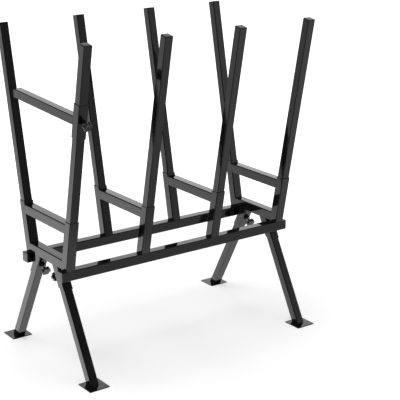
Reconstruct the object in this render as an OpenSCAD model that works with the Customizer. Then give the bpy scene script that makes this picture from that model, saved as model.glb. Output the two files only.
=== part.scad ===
// Log saw stand: a welded frame of square tube, eight plug-in uprights that lean outwards,
// four splayed legs held by lobed knobs, and a clamp that slides on one upright.
// X runs along the rails, Y from the front row to the rear row, Z up from the floor.

/* [Frame] */
// Distance between neighbouring pairs of uprights along the rails
station_pitch = 272; // [220:1:320]
// Length of rail past each end sleeve
rail_overhang = 12; // [8:1:30]
// Depth of the frame over the outer faces of its two rails
frame_depth = 250; // [230:1:300]
// Height of the rails' undersides above the floor
rail_height = 301; // [260:1:360]
// Side of the square tube of the frame
frame_tube = 32; // [30:1:36]
// Wall of the square tube of the frame
frame_wall = 1.5; // [1.2:0.1:1.8]
// Outer corner radius of the square tube of the frame
frame_corner = 3.0; // [1.5:0.1:3.5]

/* [Uprights and sleeves] */
// Outward lean of the uprights, in degrees
lean = 11.3; // [8:0.1:14]
// Height of the sleeves above the rails
sleeve_height = 160; // [120:1:200]
// Length of an upright, from the sleeve's foot to the tube's top end
upright_length = 713; // [620:1:800]
// Play between a sliding tube and the tube around it, on each side
slide_clearance = 0.5; // [0.4:0.1:1.2]
// Wall of the sliding tubes
slide_wall = 1.2; // [1.0:0.1:1.5]
// Outer corner radius of the sliding tubes
slide_corner = 2.6; // [1.5:0.1:3]
// Height of sleeve standing above the crossbar
crossbar_drop = 8; // [6:1:30]

/* [Legs] */
// Outward splay of the legs, in degrees
splay = 28.5; // [22:0.5:32]
// Distance from a rail's inner face to the leg's axis, at the rails' undersides
leg_inset = 21; // [20:0.5:40]
// Height of socket hanging below the rails
socket_drop = 33; // [24:1:50]
// Side of the square foot plate
plate_side = 70; // [50:1:90]
// Thickness of the foot plate
plate_thickness = 3; // [2:0.5:6]
// Distance from the leg's axis outwards to the foot plate's centre
plate_offset = 7; // [0:1:12]

/* [Clamp] */
// Distance along the upright from the sleeve's foot to the slider's middle
clamp_position = 485; // [320:1:520]
// Length of the slider
slider_length = 106; // [80:1:140]
// Rise of the arm towards the rear row, in degrees
arm_rise = 3; // [0:0.5:8]
// Distance between the arm's lower end corner and the rear upright
arm_gap = 21; // [15:1:40]

/* [Knobs and plugs] */
// Diameter over the lobes of a knob
knob_diameter = 30; // [24:1:34]
// Thickness of a knob's lobed head
knob_thickness = 12; // [8:1:13]
// Number of lobes on a knob
knob_lobes = 6; // [5:1:8]
// Distance from the clamped tube's face to the middle of the lobed head
knob_reach = 26; // [24:0.5:34]
// Diameter of a knob's stud
stud_diameter = 10; // [8:1:10]
// Width of a nut across its flats
nut_flats = 19; // [16:1:20]
// Height of a nut
nut_height = 8; // [6:0.5:9]
// Thickness of a plug's rim
cap_rim = 2.5; // [1.5:0.5:4]
// Depth of a plug inside its tube
cap_depth = 14; // [8:1:20]

/* [Hidden] */

// Small gaps between pieces that move against each other
seat_gap = 0.3;
stud_gap = 0.3;
thread_clearance = 0.05;
hole_clearance = 0.5;
plug_clearance = 0.15;
stud_fit = 0.02;

// Sides, directions and the number of stations
front = 1;
rear = -1;
stations = 4;
left = 1;
right = stations;

// Sizes that follow from the ones above
rail_top = rail_height + frame_tube;
rail_length = (stations - 1) * station_pitch + frame_tube + 2 * rail_overhang;
slide_tube = frame_tube - 2 * frame_wall - 2 * slide_clearance;
slide_bore = slide_tube - 2 * slide_wall;
frame_bore = frame_tube - 2 * frame_wall;
sleeve_centre = frame_tube / 2;
upright_inner = sleeve_centre + slide_tube / 2;
upright_foot = (seat_gap - (sleeve_centre - slide_tube / 2) * sin(lean)) / cos(lean);
leg_axis_y = -frame_depth / 2 + frame_tube + leg_inset;
leg_top = (frame_tube - seat_gap - slide_tube / 2 * sin(splay)) / cos(splay);
leg_knob_position = 8;
foot_y = leg_axis_y - rail_height * tan(splay) - plate_offset;
stud_radius = stud_diameter / 2 - thread_clearance;
stud_hole = stud_diameter / 2 + hole_clearance;
stud_length = knob_reach + frame_wall + slide_clearance - stud_gap;
stud_end_gap = 0.2;
nut_sides = 6;
nut_radius = nut_flats / 2 / cos(180 / nut_sides);
knob_collar = 3;
collar_diameter = 14;
knob_bevel = knob_thickness / 6;
cut_margin = 1;
far = 2000;
fine = 48;

// The arm's axis starts on the slider's axis and ends short of the rear upright
arm_root_y = -frame_depth / 2 + sleeve_centre * cos(lean) - clamp_position * sin(lean);
arm_root_z = rail_top + sleeve_centre * sin(lean) + clamp_position * cos(lean);
rear_face_y = frame_depth / 2 - upright_inner * cos(lean);
rear_face_z = rail_top + upright_inner * sin(lean);
arm_low = slide_tube / 2;
arm_span = rear_face_y + tan(lean) * (arm_root_z - arm_low * cos(arm_rise) - rear_face_z)
    - arm_gap - arm_root_y - arm_low * sin(arm_rise);
arm_length = arm_span / (cos(arm_rise) - tan(lean) * sin(arm_rise)) - cap_rim;

steel_black = [0.05, 0.05, 0.055];
plastic_black = [0.03, 0.03, 0.03];
zinc_grey = [0.68, 0.69, 0.70];

function station_x(i) = (i - (stations + 1) / 2) * station_pitch;

// Outline of a square tube with round corners
module rounded_square(side, radius) {
    square([side, side - 2 * radius], center = true);
    square([side - 2 * radius, side], center = true);
    for (sx = [-1, 1], sy = [-1, 1])
        translate([sx, sy] * (side / 2 - radius))
            circle(r = radius, $fn = fine);
}

// Square tube standing on its end
module square_tube(side, wall, radius, length) {
    linear_extrude(height = length)
        difference() {
            rounded_square(side, radius);
            square(side - 2 * wall, center = true);
        }
}

module frame_stock(length) {
    square_tube(frame_tube, frame_wall, frame_corner, length);
}

module slide_stock(length) {
    square_tube(slide_tube, slide_wall, slide_corner, length);
}

// Plug with a rim, standing on the end of a tube
module tube_plug(side, bore, radius) {
    linear_extrude(height = cap_rim)
        rounded_square(side, radius);
    translate([0, 0, -cap_depth])
        linear_extrude(height = cap_depth)
            square(bore - 2 * plug_clearance, center = true);
}

// Places a child on the front row, or mirrors it to the rear row
module on_row(row) {
    if (row == front)
        children();
    else
        mirror([0, 1, 0]) children();
}

// Frame of a leaning station: Z along the sleeve, Y square to it and inwards
module at_station(i) {
    translate([station_x(i), -frame_depth / 2, rail_top])
        rotate([lean, 0, 0])
            children();
}

// Frame of a splayed leg: Z up its axis from the rails' undersides, Y inwards to its knob
module at_leg(i) {
    translate([station_x(i), leg_axis_y, rail_height])
        rotate([-splay, 0, 0])
            children();
}

// Frame of the arm: Z along its axis, from the slider's axis to the rear
module at_arm() {
    translate([station_x(left), arm_root_y, arm_root_z])
        rotate([arm_rise - 90, 0, 0])
            children();
}

// Slab between two heights
module layer(low, high) {
    translate([-far / 2, -far / 2, low])
        cube([far, far, high - low]);
}

// Space between the inner faces of the front and rear sleeves of a station
module between_sleeves(i) {
    intersection() {
        at_station(i) translate([-far / 2, frame_tube, -far / 2]) cube([far, far, far]);
        mirror([0, 1, 0]) at_station(i) translate([-far / 2, frame_tube, -far / 2]) cube([far, far, far]);
    }
}

// Tube laid across the frame, mitred to the two leaning sleeves of a station
module cross_stock(i, bottom) {
    intersection() {
        translate([station_x(i), -frame_depth, bottom + frame_tube / 2])
            rotate([-90, 0, 0])
                frame_stock(2 * frame_depth);
        between_sleeves(i);
    }
}

// Long rail of the frame
module rail(row) {
    color(steel_black)
        on_row(row)
            translate([-rail_length / 2, -(frame_depth - frame_tube) / 2, rail_height + frame_tube / 2])
                rotate([0, 90, 0])
                    frame_stock(rail_length);
}

// Plugs in the four rail ends
module rail_end_caps() {
    color(plastic_black)
        for (row = [front, rear], end = [0, 1])
            on_row(row)
                mirror([end, 0, 0])
                    translate([rail_length / 2, -(frame_depth - frame_tube) / 2, rail_height + frame_tube / 2])
                        rotate([0, 90, 0])
                            tube_plug(frame_tube, frame_bore, frame_corner);
}

// End tube that lies on both rails and carries two leg sockets
module cross_tube(i) {
    color(steel_black)
        cross_stock(i, rail_top);
}

// Bar near the sleeves' tops, on which the log lies
module crossbar(i) {
    color(steel_black)
        cross_stock(i, rail_top + sleeve_height - crossbar_drop - frame_tube);
}

// Leaning sleeve, cut level at the rail and at its top
module sleeve(row, i) {
    color(steel_black)
        on_row(row)
            intersection() {
                at_station(i)
                    translate([0, sleeve_centre, -frame_tube])
                        frame_stock(sleeve_height / cos(lean) + 2 * frame_tube);
                layer(rail_top, rail_top + sleeve_height);
            }
}

// Splayed socket under an end cross tube, cut level at both ends, with a hole for the stud
module leg_socket(row, i) {
    color(steel_black)
        on_row(row)
            difference() {
                intersection() {
                    at_leg(i)
                        translate([0, 0, -2 * frame_tube - socket_drop])
                            frame_stock(socket_drop + 6 * frame_tube);
                    layer(rail_height - socket_drop, rail_top);
                }
                at_leg(i)
                    translate([0, 0, leg_knob_position])
                        rotate([-90, 0, 0])
                            cylinder(h = frame_tube, r = stud_hole, $fn = fine);
            }
}

// Hexagon nut standing on the face that it is welded to
module hexagon_nut() {
    difference() {
        rotate([0, 0, 90])
            cylinder(h = nut_height, r = nut_radius, $fn = nut_sides);
        translate([0, 0, -cut_margin])
            cylinder(h = nut_height + 2 * cut_margin, r = stud_diameter / 2, $fn = fine);
    }
}

// Frame on a leg socket's inner face, at its knob
module at_leg_knob(row, i) {
    on_row(row)
        at_leg(i)
            translate([0, frame_tube / 2, leg_knob_position])
                rotate([-90, 0, 0])
                    children();
}

// Frame on the slider's outer face, at its knob
module at_clamp_knob() {
    at_station(left)
        translate([0, 0, clamp_position])
            rotate([90, 0, 0])
                children();
}

// Nuts on the four leg sockets
module leg_socket_nuts() {
    color(zinc_grey)
        for (row = [front, rear], i = [left, right])
            at_leg_knob(row, i)
                hexagon_nut();
}

// Upright that stands in its sleeve
module upright(row, i) {
    color(steel_black)
        on_row(row)
            at_station(i)
                translate([0, sleeve_centre, upright_foot])
                    slide_stock(upright_length - upright_foot);
}

// Plug in an upright's top
module upright_cap(row, i) {
    color(plastic_black)
        on_row(row)
            at_station(i)
                translate([0, sleeve_centre, upright_length])
                    tube_plug(slide_tube, slide_bore, slide_corner);
}

// Splayed leg, square at its top and level on its foot plate
module leg(row, i) {
    color(steel_black)
        on_row(row)
            intersection() {
                at_leg(i)
                    translate([0, 0, leg_top - far / 2])
                        slide_stock(far / 2);
                layer(plate_thickness, rail_top);
            }
}

// Square plate under a leg
module foot_plate(row, i) {
    color(steel_black)
        on_row(row)
            translate([station_x(i), foot_y, 0])
                linear_extrude(height = plate_thickness)
                    rounded_square(plate_side, plate_thickness);
}

// Tube that slides on the front left upright, with a hole for the stud
module clamp_slider() {
    color(steel_black)
        at_station(left)
            difference() {
                translate([0, sleeve_centre, clamp_position - slider_length / 2])
                    frame_stock(slider_length);
                translate([0, 0, clamp_position])
                    rotate([90, 0, 0])
                        translate([0, 0, -sleeve_centre])
                            cylinder(h = frame_tube, r = stud_hole, $fn = fine);
            }
}

// Arm from the slider across to the rear row
module clamp_arm() {
    color(steel_black)
        intersection() {
            at_arm()
                slide_stock(arm_length);
            at_station(left)
                translate([-far / 2, frame_tube, -far / 2])
                    cube([far, far, far]);
        }
}

// Plug in the arm's end
module clamp_arm_cap() {
    color(plastic_black)
        at_arm()
            translate([0, 0, arm_length])
                tube_plug(slide_tube, slide_bore, slide_corner);
}

// Nut on the slider
module clamp_nut() {
    color(zinc_grey)
        at_clamp_knob()
            hexagon_nut();
}

// Outline of a knob's head: a disc with flutes between its lobes
module lobed_disc() {
    flute = knob_diameter / 6;
    difference() {
        circle(d = knob_diameter, $fn = fine);
        for (k = [0 : knob_lobes - 1])
            rotate(360 / knob_lobes * (k + 0.5))
                translate([knob_diameter / 2 + flute / 2, 0])
                    circle(r = flute, $fn = fine);
    }
}

// Turned blank that bevels the rims of the lobes
module knob_blank() {
    full = knob_diameter + knob_bevel / 2;
    cylinder(h = knob_bevel, d1 = full - 2 * knob_bevel, d2 = full, $fn = fine);
    translate([0, 0, knob_bevel])
        cylinder(h = knob_thickness - 2 * knob_bevel, d = full, $fn = fine);
    translate([0, 0, knob_thickness - knob_bevel])
        cylinder(h = knob_bevel, d1 = full, d2 = full - 2 * knob_bevel, $fn = fine);
}

// Lobed head with a collar under it and a blind hole for its stud
module knob_head() {
    foot = knob_reach - knob_thickness / 2 - knob_collar;
    translate([0, 0, foot])
        difference() {
            union() {
                translate([0, 0, knob_collar])
                    intersection() {
                        linear_extrude(height = knob_thickness) lobed_disc();
                        knob_blank();
                    }
                cylinder(h = knob_collar + knob_bevel / 2, d = collar_diameter, $fn = fine);
            }
            translate([0, 0, -cut_margin])
                cylinder(h = knob_reach - foot + cut_margin, r = stud_radius + stud_fit, $fn = fine);
        }
}

// Stud from just off the clamped tube up into the head
module knob_stud() {
    translate([0, 0, knob_reach - stud_length])
        cylinder(h = stud_length - stud_end_gap, r = stud_radius, $fn = fine);
}

module leg_knob(row, i) {
    color(plastic_black)
        at_leg_knob(row, i)
            knob_head();
}

module leg_stud(row, i) {
    color(zinc_grey)
        at_leg_knob(row, i)
            knob_stud();
}

module clamp_knob() {
    color(plastic_black)
        at_clamp_knob()
            knob_head();
}

module clamp_stud() {
    color(zinc_grey)
        at_clamp_knob()
            knob_stud();
}

rail(front);  // front_rail
rail(rear);  // rear_rail
rail_end_caps();
cross_tube(left);  // left_cross_tube
cross_tube(right);  // right_cross_tube
crossbar(1);  // crossbar_1
crossbar(2);  // crossbar_2
crossbar(3);  // crossbar_3
crossbar(4);  // crossbar_4
sleeve(front, 1);  // front_sleeve_1
sleeve(front, 2);  // front_sleeve_2
sleeve(front, 3);  // front_sleeve_3
sleeve(front, 4);  // front_sleeve_4
sleeve(rear, 1);  // rear_sleeve_1
sleeve(rear, 2);  // rear_sleeve_2
sleeve(rear, 3);  // rear_sleeve_3
sleeve(rear, 4);  // rear_sleeve_4
leg_socket(front, left);  // leg_socket_fl
leg_socket(front, right);  // leg_socket_fr
leg_socket(rear, left);  // leg_socket_rl
leg_socket(rear, right);  // leg_socket_rr
leg_socket_nuts();
upright(front, 1);  // front_upright_1
upright(front, 2);  // front_upright_2
upright(front, 3);  // front_upright_3
upright(front, 4);  // front_upright_4
upright(rear, 1);  // rear_upright_1
upright(rear, 2);  // rear_upright_2
upright(rear, 3);  // rear_upright_3
upright(rear, 4);  // rear_upright_4
upright_cap(front, 1);  // front_cap_1
upright_cap(front, 2);  // front_cap_2
upright_cap(front, 3);  // front_cap_3
upright_cap(front, 4);  // front_cap_4
upright_cap(rear, 1);  // rear_cap_1
upright_cap(rear, 2);  // rear_cap_2
upright_cap(rear, 3);  // rear_cap_3
upright_cap(rear, 4);  // rear_cap_4
leg(front, left);  // leg_fl
leg(front, right);  // leg_fr
leg(rear, left);  // leg_rl
leg(rear, right);  // leg_rr
foot_plate(front, left);  // foot_plate_fl
foot_plate(front, right);  // foot_plate_fr
foot_plate(rear, left);  // foot_plate_rl
foot_plate(rear, right);  // foot_plate_rr
clamp_slider();
clamp_arm();
clamp_arm_cap();
clamp_nut();
leg_knob(front, left);  // leg_knob_fl
leg_knob(front, right);  // leg_knob_fr
leg_knob(rear, left);  // leg_knob_rl
leg_knob(rear, right);  // leg_knob_rr
clamp_knob();
leg_stud(front, left);  // leg_stud_fl
leg_stud(front, right);  // leg_stud_fr
leg_stud(rear, left);  // leg_stud_rl
leg_stud(rear, right);  // leg_stud_rr
clamp_stud();
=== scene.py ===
import math

import bmesh
import bpy
from mathutils import Matrix, Vector


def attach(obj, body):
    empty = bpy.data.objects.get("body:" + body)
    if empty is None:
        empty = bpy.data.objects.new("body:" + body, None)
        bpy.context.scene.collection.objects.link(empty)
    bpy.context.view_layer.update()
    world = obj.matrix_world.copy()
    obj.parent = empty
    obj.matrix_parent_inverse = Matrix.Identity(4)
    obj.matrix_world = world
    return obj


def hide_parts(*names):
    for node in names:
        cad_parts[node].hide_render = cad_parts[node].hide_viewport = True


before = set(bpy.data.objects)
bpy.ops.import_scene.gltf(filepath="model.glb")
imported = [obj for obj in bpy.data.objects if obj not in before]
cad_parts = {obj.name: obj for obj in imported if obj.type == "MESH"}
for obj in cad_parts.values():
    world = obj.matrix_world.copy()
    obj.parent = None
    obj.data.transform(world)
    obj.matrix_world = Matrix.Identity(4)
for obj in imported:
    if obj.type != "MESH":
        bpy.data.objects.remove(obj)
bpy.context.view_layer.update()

# Rails
# Two long rails of 32 mm square steel tube, rolled with small round corners and sawn square.
# The rest of the frame is welded up on them, and all of it is stove-painted glossy black.
frame_side, frame_wall, frame_corner = 0.032, 0.0015, 0.0030
rail_length, frame_depth, rail_height = 0.872, 0.250, 0.301
rail_top = rail_height + frame_side
rail_axis_y, rail_axis_z = (frame_depth - frame_side) / 2, rail_height + frame_side / 2
front, rear = 1, -1
paint_index = 1.8


def lay(origin, along, across):
    """Place for a tube: Z runs along it and X across it."""
    z, x = Vector(along).normalized(), Vector(across).normalized()
    place = Matrix((x, z.cross(x), z)).transposed().to_4x4()
    place.translation = Vector(origin)
    return place


def outline(side, corner, steps=6):
    """Square with round corners, as points round its middle."""
    flat = side / 2 - corner
    points = []
    for k, (sx, sy) in enumerate([(1, 1), (-1, 1), (-1, -1), (1, -1)]):
        for j in range(steps + 1):
            a = math.radians(90 * (k + j / steps))
            points.append((sx * flat + corner * math.cos(a), sy * flat + corner * math.sin(a)))
    return points


def join_loops(bm, loops, ring=False, lids=False):
    """Adds faces between loops of points, one after the other, as a closed ring or with a lid on each end."""
    hoops = [[bm.verts.new(p) for p in loop] for loop in loops]
    pairs = list(zip(hoops, hoops[1:]))
    if ring:
        pairs.append((hoops[-1], hoops[0]))
    for a, b in pairs:
        for k in range(len(a)):
            n = (k + 1) % len(a)
            bm.faces.new((a[k], a[n], b[n], b[k]))
    if lids:
        bm.faces.new(hoops[0])
        bm.faces.new(hoops[-1])


def turned(place, sides, profile):
    """Loops round a place's Z, through radii and heights that a function gives for each angle."""
    turns = [2 * math.pi * k / sides for k in range(sides)]
    strips = [[place @ Vector((r * math.cos(a), r * math.sin(a), z)) for r, z in profile(a)] for a in turns]
    return list(zip(*strips))


def stepped(place, side, corner, steps):
    """Loops up a square block with round corners, from an inset and a height for each."""
    least_corner = 0.0004
    loops = []
    for inset, z in steps:
        points = outline(side - 2 * inset, max(corner - inset, least_corner))
        loops.append([place @ Vector((u, v, z)) for u, v in points])
    return loops


def shell(name, loops, ring=False, lids=False, fold=28):
    """Piece made of joined loops of points."""
    bm = bmesh.new()
    join_loops(bm, loops, ring, lids)
    return finish_mesh(name, bm, fold)


def finish_mesh(name, bm, fold):
    """Smooth piece from a mesh, creased where it folds by more than an angle in degrees."""
    bmesh.ops.recalc_face_normals(bm, faces=bm.faces)
    for face in bm.faces:
        face.smooth = True
    for edge in bm.edges:
        edge.smooth = len(edge.link_faces) == 2 and edge.calc_face_angle() < math.radians(fold)
    mesh = bpy.data.meshes.new(name)
    bm.to_mesh(mesh)
    bm.free()
    obj = bpy.data.objects.new(name, mesh)
    bpy.context.scene.collection.objects.link(obj)
    even = obj.modifiers.new("even_faces", "WEIGHTED_NORMAL")
    even.keep_sharp = True
    even.weight = 90
    return obj


def square_cut(place, distance):
    """Cut square across a tube, at a distance along it."""
    return place @ Vector((0, 0, distance)), place.col[2].to_3d()


def tube(name, place, side, wall, corner, low, high):
    """Square tube between two cuts, each a point and a normal, with its sawn edges broken."""
    nick, least_corner = 0.0003, 0.0006
    bore, inner = side - 2 * wall, max(corner - wall, least_corner)
    along = place.col[2].to_3d()

    def ring(width, radius, cut, inset):
        feet = [place @ Vector((u, v, 0)) for u, v in outline(width, radius)]
        return [p + along * ((cut[0] - p).dot(cut[1]) / along.dot(cut[1]) + inset) for p in feet]

    return shell(name, [
        ring(side, corner, low, nick), ring(side, corner, high, -nick),
        ring(side - 2 * nick, corner - nick, high, 0), ring(bore + 2 * nick, inner + nick, high, 0),
        ring(bore, inner, high, -nick), ring(bore, inner, low, nick),
        ring(bore + 2 * nick, inner + nick, low, 0), ring(side - 2 * nick, corner - nick, low, 0),
    ], ring=True)


def fit(obj, body, slot, material, *nodes):
    """Gives a piece its finish and fixes it to the body whose nodes it shows."""
    obj.data.materials.append(material)
    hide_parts(*nodes)
    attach(obj, body)


def new_group(name, inputs, outputs):
    """Empty shader node group with named inputs and outputs."""
    group = bpy.data.node_groups.new(name, "ShaderNodeTree")
    for label, kind, value in inputs:
        group.interface.new_socket(label, in_out="INPUT", socket_type=kind).default_value = value
    for label, kind in outputs:
        group.interface.new_socket(label, in_out="OUTPUT", socket_type=kind)
    return group, group.nodes.new("NodeGroupInput"), group.nodes.new("NodeGroupOutput")


def noise(tree, coord, scale, detail):
    """Cloudy noise at a number of waves to the metre, which may be a node's output."""
    node = tree.nodes.new("ShaderNodeTexNoise")
    node.inputs["Detail"].default_value = detail
    tree.links.new(coord, node.inputs["Vector"])
    if isinstance(scale, (int, float)):
        node.inputs["Scale"].default_value = scale
    else:
        tree.links.new(scale, node.inputs["Scale"])
    return node.outputs["Fac"]


def math_node(tree, operation, a, b):
    """Sum or product of two values, each a number or a node's output."""
    node = tree.nodes.new("ShaderNodeMath")
    node.operation = operation
    for socket, value in zip(node.inputs, (a, b)):
        if isinstance(value, (int, float)):
            socket.default_value = value
        else:
            tree.links.new(value, socket)
    return node.outputs[0]


def spread(tree, value, low, high):
    """Stretches a noise value from its usual band to a low and a high value."""
    usual_low, usual_high = 0.3, 0.7
    node = tree.nodes.new("ShaderNodeMapRange")
    node.inputs["From Min"].default_value = usual_low
    node.inputs["From Max"].default_value = usual_high
    tree.links.new(value, node.inputs["Value"])
    for label, bound in (("To Min", low), ("To Max", high)):
        if isinstance(bound, (int, float)):
            node.inputs[label].default_value = bound
        else:
            tree.links.new(bound, node.inputs[label])
    return node.outputs["Result"]


def mixed(tree, value, a, b):
    """Colour between two others, by a value from 0 to 1."""
    node = tree.nodes.new("ShaderNodeMix")
    node.data_type = "RGBA"
    tree.links.new(value, node.inputs["Factor"])
    tree.links.new(a, node.inputs["A"])
    tree.links.new(b, node.inputs["B"])
    return node.outputs["Result"]


# Film of paint: cloudy depth of colour, a gloss that varies a little, orange peel and wavy tube walls
paint_film, film_in, film_out = new_group("paint_film", [
    ("Thin", "NodeSocketColor", (0.006, 0.006, 0.0065, 1)),
    ("Thick", "NodeSocketColor", (0.004, 0.004, 0.0042, 1)),
    ("Gloss", "NodeSocketFloat", 0.04),
    ("Haze", "NodeSocketFloat", 0.08),
    ("Peel", "NodeSocketFloat", 420.0),
], [("Colour", "NodeSocketColor"), ("Roughness", "NodeSocketFloat"), ("Height", "NodeSocketFloat")])
peel_height, wave_height = 0.0000012, 0.00007
cloud_scale, sheen_scale, wave_scale = 14.0, 26.0, 7.0
film_at = paint_film.nodes.new("ShaderNodeTexCoord").outputs["Object"]
film_cloud = noise(paint_film, film_at, cloud_scale, detail=4.0)
film_grit = noise(paint_film, film_at, film_in.outputs["Peel"], detail=2.0)
film_peel = math_node(paint_film, "MULTIPLY", film_grit, peel_height)
film_bends = noise(paint_film, film_at, wave_scale, detail=1.0)
film_wave = math_node(paint_film, "MULTIPLY", film_bends, wave_height)
film_depth = spread(paint_film, film_cloud, 0.0, 1.0)
film_colour = mixed(paint_film, film_depth, film_in.outputs["Thin"], film_in.outputs["Thick"])
film_sheen = noise(paint_film, film_at, sheen_scale, detail=3.0)
film_rough = spread(paint_film, film_sheen, film_in.outputs["Gloss"], film_in.outputs["Haze"])
paint_film.links.new(film_colour, film_out.inputs["Colour"])
paint_film.links.new(film_rough, film_out.inputs["Roughness"])
paint_film.links.new(math_node(paint_film, "ADD", film_peel, film_wave), film_out.inputs["Height"])


def finish(name, group, values):
    """Material whose colour, roughness and relief come from a group of surface effects."""
    material = bpy.data.materials.new(name)
    material.use_nodes = True
    tree = material.node_tree
    shader = tree.nodes["Principled BSDF"]
    effect = tree.nodes.new("ShaderNodeGroup")
    effect.node_tree = group
    for label, value in values.items():
        effect.inputs[label].default_value = value
    bump = tree.nodes.new("ShaderNodeBump")
    bump.inputs["Distance"].default_value = 1.0
    tree.links.new(effect.outputs["Height"], bump.inputs["Height"])
    tree.links.new(bump.outputs["Normal"], shader.inputs["Normal"])
    tree.links.new(effect.outputs["Colour"], shader.inputs["Base Color"])
    tree.links.new(effect.outputs["Roughness"], shader.inputs["Roughness"])
    return material, shader


frame_paint, shader = finish("frame_paint", paint_film, {})
shader.inputs["IOR"].default_value = paint_index

for row, name in ((front, "front_rail"), (rear, "rear_rail")):
    place = lay((-rail_length / 2, -row * rail_axis_y, rail_axis_z), (1, 0, 0), (0, 1, 0))
    rail = tube("painted_" + name, place, frame_side, frame_wall, frame_corner,
                square_cut(place, 0), square_cut(place, rail_length))
    fit(rail, "frame", "frame_paint", frame_paint, name)

# Rail plugs
# Four moulded black plastic plugs, one pushed into each rail end.
# Only the rim shows, with a soft edge and a faintly crowned face.
plug_rim, plug_fold, plastic_index = 0.0025, 40, 1.85


def plug(place, side, corner):
    """Loops of a plug's rim, which stands on the end of a tube and rises to a small crown."""
    crown = side * 0.3
    return stepped(place, side, corner, [
        (0.0006, 0.0), (0.0, 0.0005), (0.0, 0.0014), (0.0005, 0.0021), (0.0014, 0.0024), (crown, plug_rim),
    ])


# Grain of moulded plastic: a fine even texture, slightly uneven gloss and faint flow clouds
moulded_grain, grain_in, grain_out = new_group("moulded_grain", [
    ("Pale", "NodeSocketColor", (0.022, 0.022, 0.023, 1)),
    ("Deep", "NodeSocketColor", (0.012, 0.012, 0.0125, 1)),
    ("Smooth", "NodeSocketFloat", 0.14),
    ("Matt", "NodeSocketFloat", 0.24),
    ("Grain", "NodeSocketFloat", 1500.0),
], [("Colour", "NodeSocketColor"), ("Roughness", "NodeSocketFloat"), ("Height", "NodeSocketFloat")])
grain_height, flow_scale, gloss_scale = 0.00001, 90.0, 240.0
grain_at = moulded_grain.nodes.new("ShaderNodeTexCoord").outputs["Object"]
grain_flow = spread(moulded_grain, noise(moulded_grain, grain_at, flow_scale, detail=3.0), 0.0, 1.0)
grain_colour = mixed(moulded_grain, grain_flow, grain_in.outputs["Pale"], grain_in.outputs["Deep"])
grain_sheen = noise(moulded_grain, grain_at, gloss_scale, detail=2.0)
grain_rough = spread(moulded_grain, grain_sheen, grain_in.outputs["Smooth"], grain_in.outputs["Matt"])
grain_dots = noise(moulded_grain, grain_at, grain_in.outputs["Grain"], detail=1.0)
grain_relief = math_node(moulded_grain, "MULTIPLY", grain_dots, grain_height)
moulded_grain.links.new(grain_colour, grain_out.inputs["Colour"])
moulded_grain.links.new(grain_rough, grain_out.inputs["Roughness"])
moulded_grain.links.new(grain_relief, grain_out.inputs["Height"])
black_plastic, shader = finish("black_plastic", moulded_grain, {})
shader.inputs["IOR"].default_value = plastic_index

rail_plugs = bmesh.new()
for row in (front, rear):
    for end in (-1, 1):
        place = lay((end * rail_length / 2, -row * rail_axis_y, rail_axis_z), (end, 0, 0), (0, 1, 0))
        join_loops(rail_plugs, plug(place, frame_side, frame_corner), lids=True)
plugs = finish_mesh("rail_plug_rims", rail_plugs, plug_fold)
fit(plugs, "frame", "black_plastic", black_plastic, "rail_end_caps")

# Sleeves
# Eight short lengths of the frame's tube that lean outwards from the rails in four pairs.
# Both ends are cut level; each is welded to a rail and takes an upright.
lean = math.radians(11.3)
station_pitch, sleeve_height = 0.272, 0.160
stations = (1, 2, 3, 4)
rows = ((front, "front"), (rear, "rear"))
across = (1, 0, 0)
floor_up = Vector((0, 0, 1))


def station_x(i):
    """Distance of a pair of sleeves along the rails from their middle."""
    return (i - (len(stations) + 1) / 2) * station_pitch


def station(i, row):
    """Place on a rail's outer top edge, Z along the sleeve, and the direction square to it and inwards."""
    edge = (station_x(i), -row * frame_depth / 2, rail_top)
    place = lay(edge, (0, -row * math.sin(lean), math.cos(lean)), across)
    return place, Vector((0, row * math.cos(lean), math.sin(lean)))


def inside(i, row, distance):
    """Place on the axis of a leaning tube, whose middle lies inwards of the sleeve's outer face."""
    place, inward = station(i, row)
    place.translation += inward * distance
    return place


def level(z):
    """Level cut at a height."""
    return Vector((0, 0, z)), floor_up


for row, word in rows:
    for i in stations:
        name = "%s_sleeve_%d" % (word, i)
        place = inside(i, row, frame_side / 2)
        sleeve = tube("painted_" + name, place, frame_side, frame_wall, frame_corner,
                      level(rail_top), level(rail_top + sleeve_height))
        fit(sleeve, "frame", "frame_paint", frame_paint, name)

# Crossbars and end cross tubes
# Four crossbars near the sleeves' tops carry the log, and two end tubes lie on the rails' ends.
# All are the frame's tube, mitred to the sleeves' leaning inner faces and welded there.
crossbar_drop = 0.008
crossbar_bottom = rail_top + sleeve_height - crossbar_drop - frame_side
laid_tubes = [("crossbar_%d" % i, i, crossbar_bottom) for i in stations]
laid_tubes += [("left_cross_tube", 1, rail_top), ("right_cross_tube", 4, rail_top)]


def sleeve_face(i, row):
    """Inner face of a sleeve, as a cut."""
    place, inward = station(i, row)
    return place.translation + inward * frame_side, inward


def laid_axis(i, bottom):
    """Place on the axis of a tube that lies between the two rows, Z towards the rear."""
    return lay((station_x(i), 0, bottom + frame_side / 2), (0, 1, 0), across)


for name, i, bottom in laid_tubes:
    place = laid_axis(i, bottom)
    bar = tube("painted_" + name, place, frame_side, frame_wall, frame_corner,
               sleeve_face(i, front), sleeve_face(i, rear))
    fit(bar, "frame", "frame_paint", frame_paint, name)

# Leg sockets
# Four short splayed lengths of the frame's tube under the end cross tubes, cut level at both ends.
# A hole through the inner wall of each lets the clamping stud reach the leg.
splay = math.radians(28.5)
leg_inset, socket_drop, knob_height = 0.021, 0.033, 0.008
stud_hole, drill_reach = 0.0055, 0.004
leg_y = -frame_depth / 2 + frame_side + leg_inset
corners = (("fl", front, 1), ("fr", front, 4), ("rl", rear, 1), ("rr", rear, 4))


def leg_axis(i, row):
    """Place on a leg's axis at the rails' undersides, Z up the leg, and the direction to its knob."""
    origin = (station_x(i), row * leg_y, rail_height)
    place = lay(origin, (0, row * math.sin(splay), math.cos(splay)), across)
    return place, Vector((0, row * math.cos(splay), -math.sin(splay)))


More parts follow.
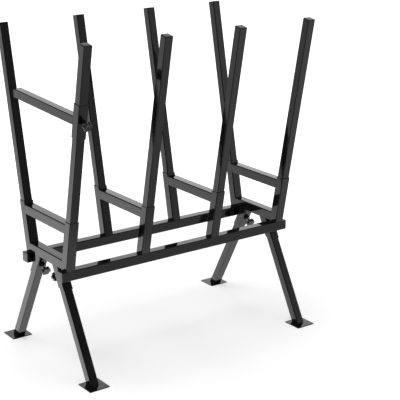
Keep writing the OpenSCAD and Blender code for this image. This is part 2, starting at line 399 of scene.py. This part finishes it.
def stud_seat(i, row):
    """Place on a socket's inner face where the stud goes through, Z towards the knob."""
    place, inward = leg_axis(i, row)
    face = place.translation + place.col[2].to_3d() * knob_height + inward * frame_side / 2
    return lay(face, inward, across)


def drill(obj, place, radius, depth):
    """Bores a round hole into a piece, at a place on its face whose Z stands square to it."""
    sides = 48
    loops = turned(place, sides, lambda angle: [(radius, -depth), (radius, depth)])
    bit = shell("drill_bit", loops, lids=True)
    cut = obj.modifiers.new("bore", "BOOLEAN")
    cut.operation = "DIFFERENCE"
    cut.object = bit
    obj.modifiers.move(len(obj.modifiers) - 1, 0)
    bored = bpy.data.meshes.new_from_object(obj.evaluated_get(bpy.context.evaluated_depsgraph_get()))
    obj.modifiers.remove(cut)
    obj.data = bored
    bpy.data.objects.remove(bit)


for word, row, i in corners:
    place = leg_axis(i, row)[0]
    socket = tube("painted_leg_socket_" + word, place, frame_side, frame_wall, frame_corner,
                  level(rail_height - socket_drop), level(rail_top))
    drill(socket, stud_seat(i, row), stud_hole, drill_reach)
    fit(socket, "frame", "frame_paint", frame_paint, "leg_socket_" + word)

# Frame welds
# Thin rippled beads of weld in the corners where the frame's tubes meet, painted over with the frame.
# Where faces lie flush with each other, the weld fills the groove and is ground smooth.
bead_radius, bead_sides, bead_step = 0.0011, 8, 0.0006
ripple_length, ripple_share = 0.0024, 0.10
weld_fold = 60
all_round = ("+x", "-x", "+y", "-y")
flush_faces = (("+x", Vector((1, 0, 0))), ("-x", Vector((-1, 0, 0))))


def cut_edges(place, side, corner, cut, sides):
    """Straight edges of a tube's outline on a cut, one for each named side."""
    along = place.col[2].to_3d()
    h, f = side / 2, side / 2 - corner
    spans = {"+x": ((h, -f), (h, f)), "-x": ((-h, -f), (-h, f)),
             "+y": ((-f, h), (f, h)), "-y": ((-f, -h), (f, -h))}
    runs = []
    for key in sides:
        feet = [place @ Vector((u, v, 0)) for u, v in spans[key]]
        runs.append([p + along * ((cut[0] - p).dot(cut[1]) / along.dot(cut[1])) for p in feet])
    return runs


def weld(name, runs):
    """Beads of weld along straight runs, rippled and tapered to a point at both ends."""
    least_steps, blunt, least_share = 8, 1.6, 0.05
    bm = bmesh.new()
    for start, end in runs:
        run = end - start
        steps = max(least_steps, int(run.length / bead_step))
        place = lay(start, run, run.orthogonal())
        sizes = []
        for s in range(steps + 1):
            t = s / steps
            swell = 1 + ripple_share * math.sin(2 * math.pi * run.length * t / ripple_length)
            taper = math.sqrt(max(0.0, math.sin(math.pi * t))) * blunt
            sizes.append((bead_radius * swell * max(least_share, min(1.0, taper)), run.length * t))
        join_loops(bm, turned(place, bead_sides, lambda angle: sizes), lids=True)
    return finish_mesh(name, bm, weld_fold)


def paint_weld(obj, body):
    """Paints welds like the frame and fixes them to a body."""
    obj.data.materials.append(frame_paint)
    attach(obj, body)


runs = []
for name, i, bottom in laid_tubes:
    place = laid_axis(i, bottom)
    for row in (front, rear):
        runs += cut_edges(place, frame_side, frame_corner, sleeve_face(i, row), ("+y", "-y"))
for row in (front, rear):
    for i in stations:
        runs += cut_edges(inside(i, row, frame_side / 2), frame_side, frame_corner,
                          level(rail_top), ("+x", "-x"))
for word, row, i in corners:
    runs += cut_edges(leg_axis(i, row)[0], frame_side, frame_corner, level(rail_top), ("+y", "-y"))


def ground_weld(bm, start, end, way, out):
    """Fills the groove beside a round tube edge up to the flush faces, over a width along way."""
    overlap, depth, proud = 0.0002, 0.0012, 0.00004
    width = frame_corner + overlap
    run = (end - start).normalized()
    loops = []
    for inset, rise in ((0.0, -depth), (0.0002, proud / 2), (0.0006, proud)):
        low, high = start + run * inset, end - run * inset
        flat = [low, high, high + way * (width - inset), low + way * (width - inset)]
        loops.append([p + out * rise for p in flat])
    join_loops(bm, loops, lids=True)


flush = bmesh.new()
for name, i, bottom in laid_tubes:
    place = laid_axis(i, bottom)
    for row in (front, rear):
        inward = station(i, row)[1]
        for side, out in flush_faces:
            start, end = cut_edges(place, frame_side, frame_corner, sleeve_face(i, row), (side,))[0]
            ground_weld(flush, start, end, -inward, out)
half = Vector((frame_side / 2 - frame_corner, 0, 0))
for row in (front, rear):
    for i in stations:
        edge = station(i, row)[0].translation
        ground_weld(flush, edge - half, edge + half, -floor_up, Vector((0, -row, 0)))
for word, row, i in corners:
    for side, out in flush_faces:
        start, end = cut_edges(leg_axis(i, row)[0], frame_side, frame_corner, level(rail_top), (side,))[0]
        ground_weld(flush, start, end, floor_up, out)

paint_weld(weld("frame_weld_beads", runs), "frame")
paint_weld(finish_mesh("ground_frame_welds", flush, weld_fold), "frame")

# Nuts on the sockets
# Hexagon nuts for a 10 mm stud, chamfered on top, one welded over each leg socket's hole.
# They were put on before the frame was painted, so they are black like it.
nut_flats, nut_height, nut_fold, stud_radius = 0.019, 0.008, 24, 0.005


def nut_loops(place):
    """Loops round a nut, from its bore's bottom over its flats and chamfer to its bore's top."""
    washer, rim, chamfer_slope = nut_flats / 2 * 0.96, 0.0002, 0.58
    mouth, sink = stud_radius * 1.1, 0.0006
    sides, flat_turn = 72, math.pi / 3

    def profile(angle):
        wedge = (angle + flat_turn / 2 - math.pi / 2) % flat_turn - flat_turn / 2
        flat = nut_flats / 2 / math.cos(wedge)
        shoulder = nut_height - rim - (flat - washer) * chamfer_slope
        return [(stud_radius, 0.0), (flat, 0.0), (flat, shoulder), (washer, nut_height),
                (mouth, nut_height), (stud_radius, nut_height - sink)]

    return turned(place, sides, profile)


socket_nuts = bmesh.new()
for word, row, i in corners:
    join_loops(socket_nuts, nut_loops(stud_seat(i, row)), ring=True)
nuts = finish_mesh("painted_socket_nuts", socket_nuts, nut_fold)
fit(nuts, "frame", "frame_paint", frame_paint, "leg_socket_nuts")

# Uprights
# Eight uprights of 28 mm square tube, sawn square, that drop into the sleeves and stand on the rails.
# They are painted like the frame, and each is closed at the top with a black plastic plug.
slide_side, slide_wall, slide_corner = 0.028, 0.0012, 0.0026
upright_length, seat_gap = 0.713, 0.0003
upright_foot = (seat_gap - (frame_side - slide_side) / 2 * math.sin(lean)) / math.cos(lean)
tube_paint, shader = finish("tube_paint", paint_film, {
    "Thin": (0.007, 0.007, 0.0075, 1),
    "Thick": (0.0045, 0.0045, 0.0048, 1),
    "Gloss": 0.04,
    "Haze": 0.09,
    "Peel": 380.0,
})
shader.inputs["IOR"].default_value = paint_index

for row, word in rows:
    for i in stations:
        name, body = "%s_upright_%d" % (word, i), "%s_upright_%d_body" % (word, i)
        place = inside(i, row, frame_side / 2)
        upright = tube("painted_" + name, place, slide_side, slide_wall, slide_corner,
                       square_cut(place, upright_foot), square_cut(place, upright_length))
        fit(upright, body, "tube_paint", tube_paint, name)
        place.translation += place.col[2].to_3d() * upright_length
        rim = plug(place, slide_side, slide_corner)
        cap = shell("plug_%s_%d" % (word, i), rim, lids=True, fold=plug_fold)
        fit(cap, body, "black_plastic", black_plastic, "%s_cap_%d" % (word, i))

# Legs and foot plates
# Four splayed legs of the uprights' tube, sawn square at the top and level at the foot.
# Each is welded to a 3 mm square steel plate that stands on the floor.
plate_side, plate_corner, plate_thickness, plate_offset = 0.070, 0.003, 0.003, 0.007
low_nick, top_nick = 0.0004, 0.0005
plate_steps = [(low_nick, 0.0), (0.0, low_nick), (0.0, plate_thickness - top_nick),
               (top_nick, plate_thickness)]
leg_top = (frame_side - seat_gap - slide_side / 2 * math.sin(splay)) / math.cos(splay)
foot_y = leg_y - rail_height * math.tan(splay) - plate_offset

for word, row, i in corners:
    body = "leg_%s_body" % word
    place = leg_axis(i, row)[0]
    leg = tube("painted_leg_" + word, place, slide_side, slide_wall, slide_corner,
               level(plate_thickness), square_cut(place, leg_top))
    fit(leg, body, "tube_paint", tube_paint, "leg_" + word)
    foot_runs = cut_edges(place, slide_side, slide_corner, level(plate_thickness), all_round)
    paint_weld(weld("foot_weld_beads_" + word, foot_runs), body)
    plate_at = Matrix.Translation((station_x(i), row * foot_y, 0))
    sheared = stepped(plate_at, plate_side, plate_corner, plate_steps)
    plate = shell("sheared_foot_plate_" + word, sheared, lids=True)
    fit(plate, body, "frame_paint", frame_paint, "foot_plate_" + word)

# Clamp
# A slider of the frame's tube runs on the front left upright, with an arm of the uprights' tube welded on.
# The arm reaches across to the rear row and ends in a plug; a nut on the slider takes the knob's stud.
clamp_position, slider_length, arm_rise, arm_gap = 0.485, 0.106, math.radians(3), 0.021
place = inside(1, front, frame_side / 2)
slider = tube("painted_clamp_slider", place, frame_side, frame_wall, frame_corner,
              square_cut(place, clamp_position - slider_length / 2),
              square_cut(place, clamp_position + slider_length / 2))
outer_edge, inward = station(1, front)
slider_face = outer_edge @ Vector((0, 0, clamp_position))
slider_seat = lay(slider_face, -inward, across)
drill(slider, slider_seat, stud_hole, drill_reach)
fit(slider, "clamp_body", "frame_paint", frame_paint, "clamp_slider")

arm_root = place @ Vector((0, 0, clamp_position))
rear_edge, rear_inward = station(1, rear)
rear_face = rear_edge.translation + rear_inward * (frame_side + slide_side) / 2
half_arm = slide_side / 2
arm_span = rear_face.y + math.tan(lean) * (arm_root.z - half_arm * math.cos(arm_rise) - rear_face.z)
arm_span -= arm_gap + arm_root.y + half_arm * math.sin(arm_rise)
arm_length = arm_span / (math.cos(arm_rise) - math.tan(lean) * math.sin(arm_rise)) - plug_rim
arm_at = lay(arm_root, (0, math.cos(arm_rise), math.sin(arm_rise)), across)
slider_side = sleeve_face(1, front)
arm = tube("painted_clamp_arm", arm_at, slide_side, slide_wall, slide_corner,
           slider_side, square_cut(arm_at, arm_length))
fit(arm, "clamp_body", "tube_paint", tube_paint, "clamp_arm")
arm_runs = cut_edges(arm_at, slide_side, slide_corner, slider_side, all_round)
paint_weld(weld("clamp_weld_beads", arm_runs), "clamp_body")
arm_end = arm_at.copy()
arm_end.translation = arm_at @ Vector((0, 0, arm_length))
cap = shell("plug_clamp_arm", plug(arm_end, slide_side, slide_corner), lids=True, fold=plug_fold)
fit(cap, "clamp_body", "black_plastic", black_plastic, "clamp_arm_cap")
nut = shell("painted_clamp_nut", nut_loops(slider_seat), ring=True, fold=nut_fold)
fit(nut, "clamp_body", "frame_paint", frame_paint, "clamp_nut")

# Clamp knobs
# Five lobed knobs, moulded in black plastic round a zinc-plated stud with a 10 mm thread.
# Four screw through the leg sockets on to the legs, and one through the slider on to its upright.
# The plating is bright, with a fine grain and a slightly milky bloom.
knob_radius, knob_thickness, knob_reach, knob_lobes = 0.015, 0.012, 0.026, 6
collar_radius, collar_height, knob_fold = 0.007, 0.003, 45
stud_tip, thread_pitch, thread_root, thread_depth, thread_fold = -0.0017, 0.0015, 0.00425, 0.0007, 50


def lobe_radius(angle):
    """Radius of the head's outline: a disc with a flute between each pair of lobes, its corners rounded."""
    flute, far, soft = knob_radius / 3, knob_radius * 7 / 6, 3200.0
    lobe_turn = 2 * math.pi / knob_lobes
    turn = (angle - lobe_turn / 2) % lobe_turn
    turn = min(turn, lobe_turn - turn)
    reach = far * math.sin(turn)
    hollow = knob_radius * 2
    if reach < flute:
        hollow = far * math.cos(turn) - math.sqrt(flute * flute - reach * reach)
    return -math.log(math.exp(-soft * knob_radius) + math.exp(-soft * hollow)) / soft


def knob(name, place):
    """Knob head: a round collar, a lobed disc with the same rim below and above, and a sunk round top."""
    sides = 96
    foot = knob_reach - knob_thickness / 2
    top = foot + knob_thickness
    collar = [(0.0052, foot - collar_height), (0.0066, foot - collar_height),
              (collar_radius, foot - 0.0026), (collar_radius, foot - 0.0002)]
    rim = [(0.80, 0.0), (0.92, 0.0004), (0.975, 0.0011), (1.0, 0.0024)]
    disc = [(share, foot + z) for share, z in rim] + [(share, top - z) for share, z in reversed(rim)]
    sunk_top = [(0.0066, top), (0.0060, top - 0.0005), (0.0008, top - 0.0006)]

    def profile(angle):
        outside = lobe_radius(angle)
        return collar + [(share * outside, z) for share, z in disc] + sunk_top

    return shell(name, turned(place, sides, profile), lids=True, fold=knob_fold)


def stud(name, place):
    """Threaded stud: the radius rises and falls once for each pitch along a right-hand helix."""
    sides, step, steep, point_radius, point_slope, end_gap = 24, thread_pitch / 6, 1.5, 0.0036, 0.9, 0.0002
    count = int((knob_reach - end_gap - stud_tip) / step)
    heights = [stud_tip + s * step for s in range(count + 1)]

    def profile(angle):
        steps = []
        for z in heights:
            crest = abs(((z / thread_pitch - angle / (2 * math.pi)) % 1.0) * 2 - 1)
            flank = min(1.0, max(0.0, crest * steep - (steep - 1) / 2))
            point = point_radius + point_slope * (z - stud_tip)
            steps.append((min(thread_root + thread_depth * flank, point), z))
        return steps

    return shell(name, turned(place, sides, profile), lids=True, fold=thread_fold)


# Zinc plating: a clouded bright metal with a fine grain
zinc_bloom, bloom_in, bloom_out = new_group("zinc_bloom", [
    ("Bright", "NodeSocketColor", (0.72, 0.73, 0.75, 1)),
    ("Milky", "NodeSocketColor", (0.50, 0.51, 0.53, 1)),
    ("Polish", "NodeSocketFloat", 0.22),
    ("Dull", "NodeSocketFloat", 0.38),
    ("Grain", "NodeSocketFloat", 900.0),
], [("Colour", "NodeSocketColor"), ("Roughness", "NodeSocketFloat"), ("Height", "NodeSocketFloat")])
bloom_height, milk_scale, shine_scale = 0.000006, 180.0, 320.0
bloom_at = zinc_bloom.nodes.new("ShaderNodeTexCoord").outputs["Object"]
bloom_cloud = spread(zinc_bloom, noise(zinc_bloom, bloom_at, milk_scale, detail=3.0), 0.0, 1.0)
bloom_colour = mixed(zinc_bloom, bloom_cloud, bloom_in.outputs["Bright"], bloom_in.outputs["Milky"])
bloom_sheen = noise(zinc_bloom, bloom_at, shine_scale, detail=2.0)
bloom_rough = spread(zinc_bloom, bloom_sheen, bloom_in.outputs["Polish"], bloom_in.outputs["Dull"])
bloom_dots = noise(zinc_bloom, bloom_at, bloom_in.outputs["Grain"], detail=2.0)
bloom_relief = math_node(zinc_bloom, "MULTIPLY", bloom_dots, bloom_height)
zinc_bloom.links.new(bloom_colour, bloom_out.inputs["Colour"])
zinc_bloom.links.new(bloom_rough, bloom_out.inputs["Roughness"])
zinc_bloom.links.new(bloom_relief, bloom_out.inputs["Height"])
zinc, shader = finish("zinc", zinc_bloom, {})
shader.inputs["Metallic"].default_value = 1.0

knob_places = []
for word, row, i in corners:
    knob_places.append(("leg_%s_" + word, "leg_knob_%s_body" % word, stud_seat(i, row)))
knob_places.append(("clamp_%s", "clamp_knob_body", slider_seat))
for name, body, place in knob_places:
    fit(knob("lobed_" + name % "knob", place), body, "black_plastic", black_plastic, name % "knob")
    fit(stud("threaded_" + name % "stud", place), body, "zinc", zinc, name % "stud")

# Floor and light
# A plain white floor that keeps the stand's soft shadow, under a broad lamp overhead.
# The surround is a white sweep, open and dark above and behind the camera.
floor_reach, floor_grey = 30, 0.8
lamp_side, lamp_power, lamp_place = 3.2, 60, (-0.3, 0.5, 3.4)
lamp_tilt = (math.radians(-6), math.radians(-4), 0)
fill_strength, seen_strength = 0.35, 1.0
floor_sheet = bmesh.new()
bmesh.ops.create_grid(floor_sheet, x_segments=1, y_segments=1, size=floor_reach)
floor_mesh = bpy.data.meshes.new("studio_floor")
floor_sheet.to_mesh(floor_mesh)
floor_sheet.free()
floor = bpy.data.objects.new("studio_floor", floor_mesh)
bpy.context.scene.collection.objects.link(floor)
floor_white = bpy.data.materials.new("floor_white")
floor_white.use_nodes = True
tree = floor_white.node_tree
tree.nodes.clear()
matt = tree.nodes.new("ShaderNodeBsdfDiffuse")
matt.inputs["Color"].default_value = (floor_grey, floor_grey, floor_grey, 1)
rays = tree.nodes.new("ShaderNodeLightPath")
measure = tree.nodes.new("ShaderNodeVectorMath")
measure.operation = "LENGTH"
tree.links.new(tree.nodes.new("ShaderNodeNewGeometry").outputs["Position"], measure.inputs[0])
from_stand = measure.outputs["Value"]


def ease(tree, value, start, end, low, high):
    """Smooth step from low to high while a value runs from start to end."""
    node = tree.nodes.new("ShaderNodeMapRange")
    node.interpolation_type = "SMOOTHSTEP"
    tree.links.new(value, node.inputs["Value"])
    for label, number in (("From Min", start), ("From Max", end), ("To Min", low), ("To Max", high)):
        node.inputs[label].default_value = number
    return node.outputs["Result"]


# The floor glows towards the camera, more so away from the stand, so that it fades into the white behind
near_glow = ease(tree, from_stand, 0.25, 0.8, 0.44, 0.54)
far_glow = ease(tree, from_stand, 0.8, 2.4, 0.0, 0.6)
sweep_up = math_node(tree, "ADD", near_glow, far_glow)
glow = tree.nodes.new("ShaderNodeEmission")
tree.links.new(math_node(tree, "MULTIPLY", rays.outputs["Is Camera Ray"], sweep_up), glow.inputs["Strength"])
both = tree.nodes.new("ShaderNodeAddShader")
tree.links.new(matt.outputs[0], both.inputs[0])
tree.links.new(glow.outputs[0], both.inputs[1])
tree.links.new(both.outputs[0], tree.nodes.new("ShaderNodeOutputMaterial").inputs["Surface"])
floor_mesh.materials.append(floor_white)
floor.visible_glossy = False

overhead = bpy.data.lights.new("overhead_softbox", "AREA")
overhead.shape = "RECTANGLE"
overhead.size, overhead.size_y = lamp_side, lamp_side
overhead.energy = lamp_power
overhead_lamp = bpy.data.objects.new("overhead_softbox", overhead)
overhead_lamp.location = lamp_place
overhead_lamp.rotation_euler = lamp_tilt
overhead_lamp.visible_glossy = False
bpy.context.scene.collection.objects.link(overhead_lamp)

world = bpy.data.worlds.new("white_sweep")
bpy.context.scene.world = world
world.use_nodes = True
sky = world.node_tree
sky.nodes.clear()
rays = sky.nodes.new("ShaderNodeLightPath")
toward = sky.nodes.new("ShaderNodeTexCoord").outputs["Generated"]
axes = sky.nodes.new("ShaderNodeSeparateXYZ")
sky.links.new(toward, axes.inputs[0])
x, y, z = axes.outputs["X"], axes.outputs["Y"], axes.outputs["Z"]


def facing(direction):
    """How nearly a ray of the surround points in a direction."""
    node = sky.nodes.new("ShaderNodeVectorMath")
    node.operation = "DOT_PRODUCT"
    node.inputs[1].default_value = Vector(direction).normalized()
    sky.links.new(toward, node.inputs[0])
    return node.outputs["Value"]


def product(*values):
    """Values of the surround multiplied together."""
    result = values[0]
    for value in values[1:]:
        result = math_node(sky, "MULTIPLY", result, value)
    return result


# What glossy paint mirrors, by the mirrored ray's direction: a bright sweep low at the rear left, a white
# wall over the rear, and in front a paler floor and right side, with the rest nearly dark
rearward = ease(sky, y, 0.0, 0.4, 0.0, 1.0)
forward = ease(sky, y, -0.5, -0.2, 1.0, 0.0)
low_sweep = product(ease(sky, x, -0.72, -0.42, 0.38, 1.08), ease(sky, x, -0.38, -0.20, 1.0, 0.0),
                    ease(sky, z, -0.36, -0.21, 1.24, 0.66), ease(sky, z, -0.05, 0.12, 1.0, 0.0), rearward)
rear_wall = product(ease(sky, x, 0.40, 0.58, 1.0, 1.32), ease(sky, x, -0.20, 0.30, 0.1, 1.0),
                    ease(sky, z, 0.06, 0.19, 0.0, 1.0), ease(sky, z, 0.18, 0.56, 1.2, 0.02), rearward)
high_wall = product(ease(sky, x, 0.10, 0.40, 0.0, 0.36), ease(sky, z, 0.34, 0.45, 0.0, 1.0),
                    ease(sky, z, 0.47, 0.60, 1.0, 0.0), rearward)
right_side = product(ease(sky, x, 0.38, 0.74, 0.0, 0.58), ease(sky, z, -0.30, -0.10, 0.0, 1.0),
                     ease(sky, z, 0.15, 0.50, 1.0, 0.4), forward)
near_floor = product(ease(sky, x, 0.44, 0.66, 0.19, 0.45), ease(sky, z, -0.63, -0.595, 2.3, 1.0),
                     ease(sky, z, -0.44, -0.38, 1.0, 0.0), forward)
low_front = product(ease(sky, z, -0.44, -0.38, 0.0, 0.28), ease(sky, z, -0.30, -0.12, 1.0, 0.0),
                    forward)
floor_below = ease(sky, z, -0.88, -0.62, 0.8, 0.0)
strength = ease(sky, facing((0.57, 0.77, -0.30)), 0.60, 0.95, 0.04, 0.02)
for part in (low_sweep, rear_wall, high_wall, right_side, near_floor, low_front, floor_below):
    strength = math_node(sky, "ADD", strength, part)
backgrounds = []
for value in (fill_strength, strength, seen_strength):
    node = sky.nodes.new("ShaderNodeBackground")
    if isinstance(value, float):
        node.inputs["Strength"].default_value = value
    else:
        sky.links.new(value, node.inputs["Strength"])
    node.inputs["Color"].default_value = (1, 1, 1, 1)
    backgrounds.append(node.outputs[0])
shown = backgrounds[0]
seen_by = (("Is Glossy Ray", backgrounds[1]), ("Is Transmission Ray", backgrounds[1]),
           ("Is Camera Ray", backgrounds[2]))
for ray, other in seen_by:
    blend = sky.nodes.new("ShaderNodeMixShader")
    sky.links.new(rays.outputs[ray], blend.inputs[0])
    sky.links.new(shown, blend.inputs[1])
    sky.links.new(other, blend.inputs[2])
    shown = blend.outputs[0]
sky.links.new(shown, sky.nodes.new("ShaderNodeOutputWorld").inputs["Surface"])

# Camera
# Long lens from the front left and a little above, as the stand was seen.
# Its place, angles and focal length were fitted together with the stand's sizes.
turn, tilt, roll = math.radians(-36.284), math.radians(17.170), math.radians(0.054)
film_width, focal_length, eye = 36.0, 106.98, (-2.0810, -3.0603, 1.5954)
back = Vector((math.sin(turn) * math.cos(tilt), -math.cos(turn) * math.cos(tilt), math.sin(tilt)))
level_right = Vector((math.cos(turn), math.sin(turn), 0))
level_up = back.cross(level_right)
right = level_right * math.cos(roll) + level_up * math.sin(roll)
up = level_up * math.cos(roll) - level_right * math.sin(roll)
camera = bpy.data.cameras.new("long_lens")
camera.sensor_width = film_width
camera.lens = focal_length
camera_at = bpy.data.objects.new("long_lens", camera)
camera_at.matrix_world = Matrix.Translation(eye) @ Matrix((right, up, back)).transposed().to_4x4()
bpy.context.scene.collection.objects.link(camera_at)
bpy.context.scene.camera = camera_at
bpy.context.scene.view_settings.view_transform = "Standard"
